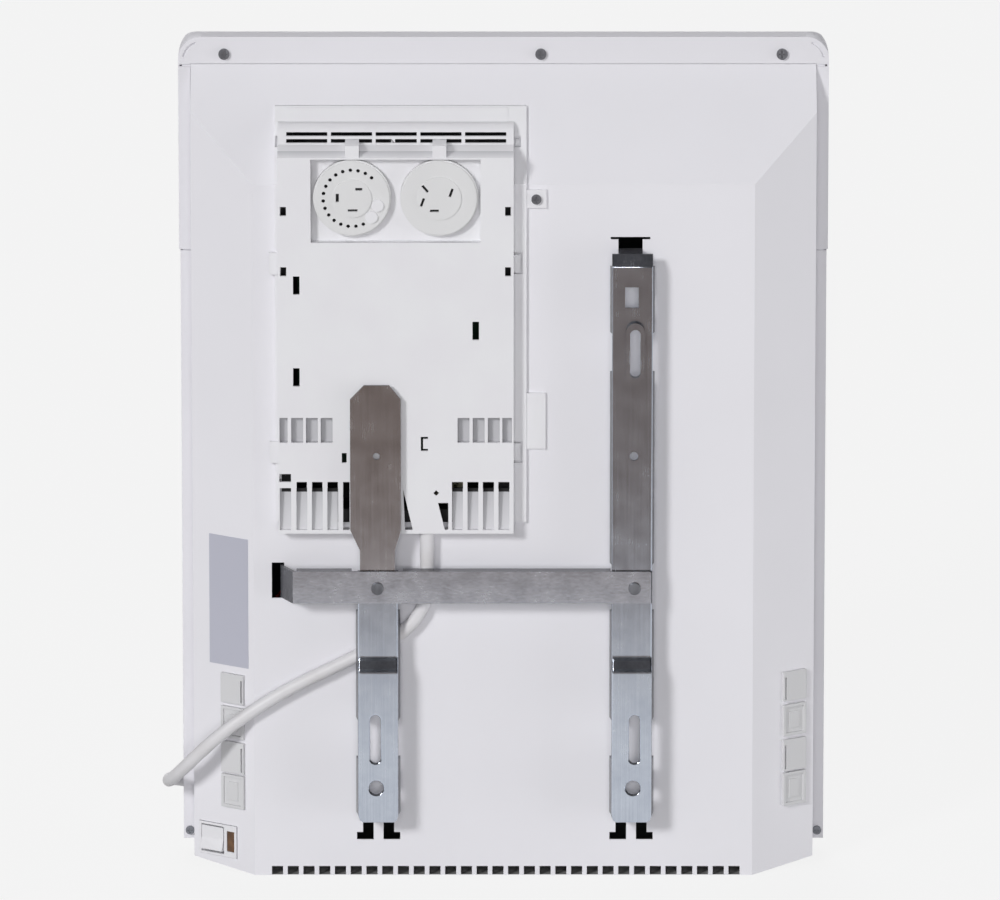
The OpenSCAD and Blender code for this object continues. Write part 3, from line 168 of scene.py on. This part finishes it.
white_pvc = pvc_sheath("white_pvc_sheath", "#dbdadd", "#d5d3d5")
wear_finish(cord, white_pvc)
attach(cord, "heater")
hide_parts("supply_cord", "cord_coil")
wear_finish(nodes["cord_cores"], pvc_sheath("core_insulation", "#6b4630", "#553423"))
wear_finish(nodes["cord_tie"], pvc_sheath("tie_strap", "#3a3a3d", "#2c2c2f"))
wear_finish(nodes["strain_relief"], white_pvc)


# Studio floor: matt pale paper that runs out past the view and keeps the heater's shadow.
# The camera and gloss see it near white, except under the base, where it stays dark.
def axes(tree):
    # The point on the piece as its X, Y and Z in metres
    where = add_node(tree, "ShaderNodeTexCoord").outputs["Object"]
    return add_node(tree, "ShaderNodeSeparateXYZ", {0: where}).outputs


def within(tree, spans):
    # 1 at points that lie within the span of each axis given, and 0 elsewhere
    spot = axes(tree)
    share = 1.0
    for axis, (low, high) in spans.items():
        middle, half = (low + high) / 2, (high - low) / 2
        near = add_node(tree, "ShaderNodeMath", {0: spot[axis], 1: middle, 2: half}, operation="COMPARE")
        both = add_node(tree, "ShaderNodeMath", {0: near.outputs[0], 1: share}, operation="MULTIPLY")
        share = both.outputs[0]
    return share


floor_size = 60
floor_glow = 0.85
base_spans = {"X": (-0.1265, 0.1265), "Y": (-0.032, 0.022)}
bpy.ops.mesh.primitive_plane_add(size=floor_size, location=(0, 0, 0))
floor = bpy.context.object
floor.name = "floor"
paper, tree, body = new_finish("paper_floor")
body.inputs["Base Color"].default_value = linear("#9a9a9a")
body.inputs["Roughness"].default_value = 0.9
ray = add_node(tree, "ShaderNodeLightPath")
shown = 0.0
for kind in ("Is Camera Ray", "Is Glossy Ray", "Is Transmission Ray"):
    shown = add_node(tree, "ShaderNodeMath", {0: ray.outputs[kind], 1: shown}, operation="MAXIMUM").outputs[0]
open_floor = add_node(tree, "ShaderNodeMath", {0: floor_glow, 1: within(tree, base_spans)},
                      operation="SUBTRACT", use_clamp=True)
share = add_node(tree, "ShaderNodeMath", {0: shown, 1: open_floor.outputs[0]}, operation="MULTIPLY")
glow = add_node(tree, "ShaderNodeEmission", {"Color": linear("#fbfbfb"), "Strength": 1.05})
mix = add_node(tree, "ShaderNodeMixShader", {"Fac": share.outputs[0], 1: body.outputs[0], 2: glow.outputs[0]})
tree.links.new(mix.outputs[0], tree.nodes["Material Output"].inputs["Surface"])
wear_finish(floor, paper)
# Two of the fills shine from a little below the horizon, so the floor doesn't block them
floor.visible_shadow = False


# Dark flag: a felt sheet laid on the camera's side of the floor, seen in gloss alone.
# Bare metal looks dark for it. It starts half a metre out, so low metal still mirrors the pale floor.
flag_near, flag_far, flag_half, flag_height = 0.55, 5.0, 4.0, 0.004
bpy.ops.mesh.primitive_plane_add(size=1, location=(0, (flag_near + flag_far) / 2, flag_height))
flag = bpy.context.object
flag.name = "dark_flag"
flag.scale = (2 * flag_half, flag_far - flag_near, 1)
bpy.ops.object.transform_apply(location=True, rotation=False, scale=True)
felt, tree, body = new_finish("dark_felt")
body.inputs["Base Color"].default_value = linear("#8c7b70")
body.inputs["Roughness"].default_value = 1.0
wear_finish(flag, felt)
for sight in ("camera", "diffuse", "shadow", "transmission"):
    setattr(flag, "visible_" + sight, False)


# Room and lamps: dim even light all round, and five suns with soft edges.
# In gloss the room is nearly black, and of the lamps only the key shows.
room_light = (0.15, 0.15, 0.155, 1)
room_in_gloss = (0.015, 0.015, 0.018, 1)
world = bpy.data.worlds.new("studio")
world.use_nodes = True
tree = world.node_tree
ray = add_node(tree, "ShaderNodeLightPath")
room = add_node(tree, "ShaderNodeMix", {0: ray.outputs["Is Glossy Ray"], 6: room_light, 7: room_in_gloss},
                data_type="RGBA")
tree.links.new(room.outputs[2], tree.nodes["Background"].inputs["Color"])
bpy.context.scene.world = world


def hang_lamp(name, direction, light, softness, gloss=False):
    # A light of 1 brings a white face that looks at the lamp to full white, from any distance
    lamp_distance = 3
    lamp = bpy.data.objects.new(name, bpy.data.lights.new(name, "SUN"))
    bpy.context.scene.collection.objects.link(lamp)
    lamp.location = Vector(direction) * lamp_distance
    aim(lamp, (0, 0, 0))
    lamp.data.energy = light * math.pi
    lamp.data.angle = math.radians(softness)
    lamp.visible_glossy = gloss


hang_lamp("key", (0.512, 0.759, 0.417), 0.50, 12, gloss=True)
hang_lamp("front_fill", (0.0, 0.98, 0.17), 0.31, 24)
hang_lamp("side_fill", (-0.95, 0.25, -0.1), 0.29, 30)
hang_lamp("overhead", (0.1, -0.6, 0.8), 0.46, 30)
hang_lamp("room_fill", (0.0, -1.0, -0.05), 0.36, 30)


# Casing: 1 mm steel sheet, pressed and folded, then powder coated white in satin.
# The inner faces are painted near black, as painted shade of the closed inside seen through the openings.
def shade_inside(tree, colour, box, inner, fade=False):
    # Painted shade: the inner tone fills the box, given by its low and high corner. With fade, it comes in
    # with depth.
    low, high = box
    share = within(tree, dict(zip("XYZ", zip(low, high))))
    if fade:
        depth = add_node(tree, "ShaderNodeMapRange", {"Value": axes(tree)["Y"], "From Min": high[1],
                                                      "From Max": low[1]})
        both = add_node(tree, "ShaderNodeMath", {0: depth.outputs[0], 1: share}, operation="MULTIPLY")
        share = both.outputs[0]
    blend = add_node(tree, "ShaderNodeMix", {0: share, 6: colour, 7: linear(inner)}, data_type="RGBA")
    return blend.outputs[2]


def powder_coat(name, light, shade, box):
    # Orange peel of the melted powder, cells about 1.4 mm, and clouds of 80 mm that hardly show
    finish, tree, body = new_finish(name)
    coat = clouds(tree, 0.08, ((0.35, shade), (0.65, light)))
    # Painted shade: inside the given box the coat turns near black
    tree.links.new(shade_inside(tree, coat, box, "#1d1e20"), body.inputs["Base Color"])
    body.inputs["Roughness"].default_value = 0.42
    raise_grain(tree, body, 0.0014, 0.12, 0.00005)
    return finish


def soften(piece, width):
    # Sharp edges get the small round that a press or a mould leaves
    weld = piece.modifiers.new("weld", "WELD")
    weld.merge_threshold = 0.00001
    bevel = piece.modifiers.new("edges", "BEVEL")
    bevel.width = width
    bevel.segments = 2
    bevel.limit_method = "ANGLE"
    bevel.angle_limit = math.radians(30)
    bevel.harden_normals = True


# Boxes where the casing's inner faces get painted shade
shaded_inside_pan = ((-0.130, -0.0378, 0.0005), (0.130, 0.0222, 0.372))
shaded_inside_shell = ((-0.155, -0.0388, 0.0), (0.155, -0.0155, 0.4295))
sheet_edge = 0.0003
pan_coat = powder_coat("pan_powder_coat", "#e6e5ea", "#e4e3e8", shaded_inside_pan)
# The hood and front panel wear a darker copy of the same coat, as painted shade
shaded_shell_coat = powder_coat("shaded_shell_powder_coat", "#e0dfe4", "#dedde2", shaded_inside_shell)
for name, coat in (("rear_panel", pan_coat), ("front_hood", shaded_shell_coat), ("front_panel", shaded_shell_coat)):
    wear_finish(nodes[name], coat)
    soften(nodes[name], sheet_edge)


# Mouldings: injection-moulded ABS, white, clipped or screwed to the casing.
# Control box, stop pins, clip plates, switch and outlet grille are all of it.
# The box has painted shade: grey in its pockets, on its slope and on one recess wall, and black inside.
def moulded_abs(name, light, shade, shaded_hollows=()):
    # The even, fine grain of a spark-eroded tool, cells 0.5 mm
    finish, tree, body = new_finish(name)
    tone = clouds(tree, 0.03, ((0.35, shade), (0.65, light)))
    # Painted shade: each shaded hollow darkens the tone inside its box
    for box, inner, fade in shaded_hollows:
        tone = shade_inside(tree, tone, box, inner, fade)
    tree.links.new(tone, body.inputs["Base Color"])
    body.inputs["Roughness"].default_value = 0.48
    raise_grain(tree, body, 0.0005, 0.1, 0.00003)
    return finish


abs_light, abs_shade, painted_shade_black = "#e5e5e8", "#e3e2e6", "#1b1b1d"
# Boxes of painted shade on the frame and cover: black inside and on the window sills, grey in pockets, slope
# and one recess wall
shaded_inside_frame = ((-0.0037, -0.01, 0.191), (0.1161, 0.03, 0.4018))
shaded_inside_cover = ((-0.0037, 0.0, 0.19), (0.1161, 0.0268, 0.372))
shaded_window_sills = ((-0.0037, 0.0, 0.2100), (0.1161, 0.0296, 0.2162))
shaded_recess_wall = ((0.0998, 0.0272, 0.3450), (0.1010, 0.0322, 0.3886))
shaded_upper_slope = ((-0.005, 0.0250, 0.3888), (0.118, 0.0325, 0.3936))
shaded_pockets = ((-0.005, 0.0278, 0.1895), (0.118, 0.0318, 0.2512))
moulded_edge = 0.0002
white_abs = moulded_abs("white_abs", abs_light, abs_shade)
socket_abs = moulded_abs("socket_abs", "#d1d1d3", "#cfcfd1")
frame_abs = moulded_abs("frame_abs", abs_light, abs_shade, [(shaded_inside_frame, painted_shade_black, False)])
cover_abs = moulded_abs("cover_abs", abs_light, abs_shade, [
    (shaded_pockets, "#aeaeb2", True), (shaded_upper_slope, "#c4c4c8", True), (shaded_recess_wall, "#6a6a6e", False),
    (shaded_inside_cover, painted_shade_black, False), (shaded_window_sills, painted_shade_black, False)])
mouldings = {
    "control_box_frame": frame_abs, "control_box_cover": cover_abs,
    "limit_pin_low": white_abs, "limit_pin_high": white_abs, "outlet_grille": white_abs,
    "power_switch_body": white_abs, "power_rocker": white_abs,
    "foot_sockets_left": socket_abs, "foot_sockets_right": socket_abs,
}
for name, finish in mouldings.items():
    wear_finish(nodes[name], finish)
    soften(nodes[name], moulded_edge)


# Dials: two moulded discs of the same ABS, painted a shade greyer as shade, pushed on to their shafts.
# The stop holes and the hub's marks are deep, and what lies under the dial's floor is painted dark as their
# shade.
dial_z, dial_floor, dial_reach = 0.368, 0.0309, 0.0175
for name, dial_x in (("temperature_dial", 0.07885), ("mode_dial", 0.03335)):
    finish, tree, body = new_finish(name + "_abs")
    where = add_node(tree, "ShaderNodeTexCoord").outputs["Object"]
    spot = add_node(tree, "ShaderNodeVectorMath", {0: where, 1: (dial_x, dial_floor, dial_z)},
                    operation="SUBTRACT").outputs[0]
    depth = add_node(tree, "ShaderNodeSeparateXYZ", {0: spot}).outputs["Y"]
    flat = add_node(tree, "ShaderNodeVectorMath", {0: spot, 1: (1, 0, 1)}, operation="MULTIPLY")
    reach = add_node(tree, "ShaderNodeVectorMath", {0: flat.outputs[0]}, operation="LENGTH").outputs["Value"]
    inner = add_node(tree, "ShaderNodeMath", {0: reach, 1: dial_reach}, operation="LESS_THAN")
    sunk = add_node(tree, "ShaderNodeMath", {0: depth, 1: 0.0}, operation="LESS_THAN")
    hole = add_node(tree, "ShaderNodeMath", {0: inner.outputs[0], 1: sunk.outputs[0]}, operation="MULTIPLY")
    tone = clouds(tree, 0.03, ((0.35, "#dadadb"), (0.65, "#dcdcdd")))
    # Painted shade: the sunk holes and marks turn black
    blend = add_node(tree, "ShaderNodeMix", {0: hole.outputs[0], 6: tone, 7: linear(painted_shade_black)},
                     data_type="RGBA")
    tree.links.new(blend.outputs[2], body.inputs["Base Color"])
    body.inputs["Roughness"].default_value = 0.48
    wear_finish(nodes[name], finish)
    soften(nodes[name], moulded_edge)


# Screws and rivets: zinc-plated steel, the screws driven home and the rivets closed by a press.
# They share the bracket's finish, in a darker tone and less metallic.
def galvanised(name, cells, light, shade, metallic=1.0):
    # Hardly any spangle shows, but faint lines or mottling as fine as the cells, in metres
    finish, tree, body = new_finish(name)
    spangle = add_node(tree, "ShaderNodeTexNoise", {"Vector": place(tree), "Scale": 1 / 0.012, "Detail": 4})
    stretch = tuple(1 / cell for cell in cells)
    lines = add_node(tree, "ShaderNodeTexNoise", {"Vector": place(tree, stretch), "Scale": 1.0, "Detail": 4})
    blend = add_node(tree, "ShaderNodeMix", {0: 0.4, 2: spangle.outputs["Fac"], 3: lines.outputs["Fac"]},
                     data_type="FLOAT")
    tone = add_node(tree, "ShaderNodeValToRGB", {"Fac": blend.outputs[0]}, ((0.35, shade), (0.65, light)))
    tree.links.new(tone.outputs["Color"], body.inputs["Base Color"])
    rough = add_node(tree, "ShaderNodeMapRange", {"Value": blend.outputs[0], "From Min": 0.3, "From Max": 0.7,
                                                  "To Min": 0.21, "To Max": 0.29})
    tree.links.new(rough.outputs[0], body.inputs["Roughness"])
    body.inputs["Metallic"].default_value = metallic
    bump = add_node(tree, "ShaderNodeBump", {"Height": lines.outputs["Fac"], "Strength": 0.08,
                                             "Distance": 0.0001})
    tree.links.new(bump.outputs["Normal"], body.inputs["Normal"])
    return finish


upright_lines = (0.0008, 0.0008, 0.06)
head_rim = 0.0002
bolt_zinc = galvanised("bolt_zinc", upright_lines, "#8d8f96", "#6d6f75", 0.5)
for name in ("bracket_rivets", "hood_screws", "side_screws", "box_screw"):
    wear_finish(nodes[name], bolt_zinc)
    soften(nodes[name], head_rim)


# Wall bracket: 1.5 mm galvanised steel strip, pressed into two channels and a crossbar, and riveted.
# The legs show faint drawing lines and the crossbar a fine mottling. Faces that look sideways or upwards are
# painted dull grey as shade.
level_mottle = (0.003, 0.0008, 0.0011)
painted_shade_zinc = galvanised("painted_shade_zinc", upright_lines, "#5e5f65", "#47484d", 0.4)
upright_zinc = galvanised("galvanised_upright", upright_lines, "#cfd6e2", "#b9c0cd")
# What stands over the crossbar gets a less blue copy of the zinc, as painted reflection
reflection_tinted_tab_zinc = galvanised("galvanised_tab_painted_reflection", upright_lines, "#d3d2d7", "#bdbcc1")
level_zinc = galvanised("galvanised_level", level_mottle, "#e2e7f2", "#c3c8d4")
long_bend, head_bend, rim_bend = 0.0012, 0.0032, 0.0009
leg_half, low_web, high_web, flange_foot = 0.0106, 0.040, 0.037, 0.0315
joggle_z, above_bar, upward, spring = 0.1156, 0.16, 0.4, 0.001
holes_half, holes_low, holes_high = 0.0095, 0.040, 0.100
bar_low, bar_high, bar_face, bar_end = 0.152, 0.1692, 0.0385, 0.1095


def press(node, finish, bends, flare=None, side=0.9, above=None):
    # A copy of the part with its pressed bends rounded, and its flanges sprung apart a little.
    # Faces that look sideways by more than side, or upwards, are painted dull as shade. Above is a zinc
    # of its own, tinted as painted reflection, for what stands over the crossbar.
    piece = bpy.data.objects.new(node + "_pressed", nodes[node].data.copy())
    bpy.context.scene.collection.objects.link(piece)
    bpy.ops.object.select_all(action="DESELECT")
    piece.select_set(True)
    bpy.context.view_layer.objects.active = piece
    bpy.ops.object.mode_set(mode="EDIT")
    bpy.ops.mesh.select_all(action="SELECT")
    bpy.ops.mesh.remove_doubles(threshold=0.00006)
    bpy.ops.mesh.dissolve_limited(angle_limit=math.radians(0.5))
    for width, wanted in bends:
        bpy.ops.mesh.select_mode(type="EDGE")
        bpy.ops.mesh.select_all(action="DESELECT")
        bpy.ops.object.mode_set(mode="OBJECT")
        for edge in piece.data.edges:
            a, b = (piece.data.vertices[v].co for v in edge.vertices)
            edge.select = wanted(a) and wanted(b)
        bpy.ops.object.mode_set(mode="EDIT")
        bpy.ops.mesh.bevel(offset=width, segments=5, affect="EDGES", clamp_overlap=False)
    bpy.ops.object.mode_set(mode="OBJECT")
    if flare:
        for vertex in piece.data.vertices:
            vertex.co = vertex.co + Vector(flare(vertex.co))
    bpy.ops.object.shade_smooth_by_angle(angle=math.radians(32))
    flat = piece.modifiers.new("flat_faces", "WEIGHTED_NORMAL")
    flat.keep_sharp = True
    wear_finish(piece, finish)
    piece.data.materials.append(painted_shade_zinc)
    if above:
        piece.data.materials.append(above)
    # Painted shade: sideways and upward faces take the dull zinc
    for face in piece.data.polygons:
        if abs(face.normal.x) > side or face.normal.z > upward:
            face.material_index = 1
        elif above and face.center.z > above_bar:
            face.material_index = 2
    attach(piece, "bracket")
    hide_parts(node)


def near(value, target):
    # To within 0.08 mm, which is more than the merging of doubles moves a corner
    return abs(value - target) < 0.00008


def press_leg(node, middle, head_z=None):
    # A leg is a channel. The right one has one more bend, at its head, where its tongue starts.
    def long_edge(p):
        # At a side of the leg, on the lower web, the joggle or the upper web
        return near(abs(p.x - middle), leg_half) and near(p.y, low_web if p.z < joggle_z else high_web)

    def hole_edge(p):
        # Rims of the lower slot and of the round hole below it
        return near(p.y, low_web) and abs(p.x - middle) < holes_half and holes_low < p.z < holes_high

    def head_edge(p):
        return near(p.z, head_z) and near(p.y, high_web)

    def sprung(p):
        side = 1 if p.x > middle else -1
        return (side * spring, 0, 0) if near(p.y, flange_foot) else (0, 0, 0)

    bends = [(long_bend, long_edge), (rim_bend, hole_edge)]
    if head_z:
        bends.append((head_bend, head_edge))
    press(node, upright_zinc, bends, sprung, above=None if head_z else reflection_tinted_tab_zinc)


def bar_edge(p):
    return (near(p.z, bar_low) or near(p.z, bar_high)) and near(p.y, bar_face) and p.x < bar_end


press_leg("bracket_right_leg", middle=-0.0672, head_z=0.332)
press_leg("bracket_left_leg", middle=0.0658)
press("bracket_crossbar", level_zinc, [(rim_bend, bar_edge)], side=0.3)


# Rating plate: a plain label of thin aluminium foil, stuck flat on the rear panel.
# A matt lilac-grey coat over the metal leaves only a soft gleam.
foil, tree, body = new_finish("blank_foil")
body.inputs["Base Color"].default_value = linear("#bcbdca")
body.inputs["Roughness"].default_value = 0.4
body.inputs["Metallic"].default_value = 0.3
wear_finish(nodes["rating_plate"], foil)


# Parts inside the casing: board, switches, terminals, heater bar with its mounts and shield, wiring.
# They are bought parts, clipped or screwed in, and little of them shows through slots and grille.
def plain_finish(name, light, shade, roughness, metallic=0.0):
    # An even surface, with clouds of 4 mm that keep it from looking flat
    finish, tree, body = new_finish(name)
    tone = clouds(tree, 0.004, ((0.3, shade), (0.7, light)))
    tree.links.new(tone, body.inputs["Base Color"])
    body.inputs["Roughness"].default_value = roughness
    body.inputs["Metallic"].default_value = metallic
    return finish


# Moulded nylon is a dull near-black, and rolled sheet a bright grey with soft reflections
nylon = plain_finish("dark_nylon", "#34363a", "#292b2e", 0.5)
sheet = plain_finish("bare_galvanised_sheet", "#a9abae", "#989a9e", 0.4, 1.0)
# Lacquer on the board is glossy and dark green, and moulded polyamide a matt ivory, painted darker as shade.
# Extruded aluminium is bright, fired steatite matt and cream, and silicone sleeve matt red.
# The lens is clear amber plastic, dark while its lamp is off.
inner_finishes = {
    "control_board": plain_finish("solder_resist", "#20362a", "#182b20", 0.35),
    "terminal_block": plain_finish("shaded_ivory_polyamide", "#a8a28c", "#9a947f", 0.5),
    "heating_element": plain_finish("extruded_aluminium", "#b5b6b8", "#a2a3a6", 0.4, 1.0),
    "element_bushes": plain_finish("steatite", "#dcd3c4", "#cfc5b4", 0.6),
    "internal_leads": plain_finish("silicone_sleeve", "#a3342c", "#8b2a23", 0.6),
    "switch_lens": plain_finish("amber_lens", "#6b4a2c", "#4f3420", 0.25),
    "potentiometer": nylon, "mode_switch": nylon, "thermal_cutout": nylon, "room_sensor": nylon,
    "heat_shield": sheet, "element_mounts": sheet,
}
for name, finish in inner_finishes.items():
    wear_finish(nodes[name], finish)
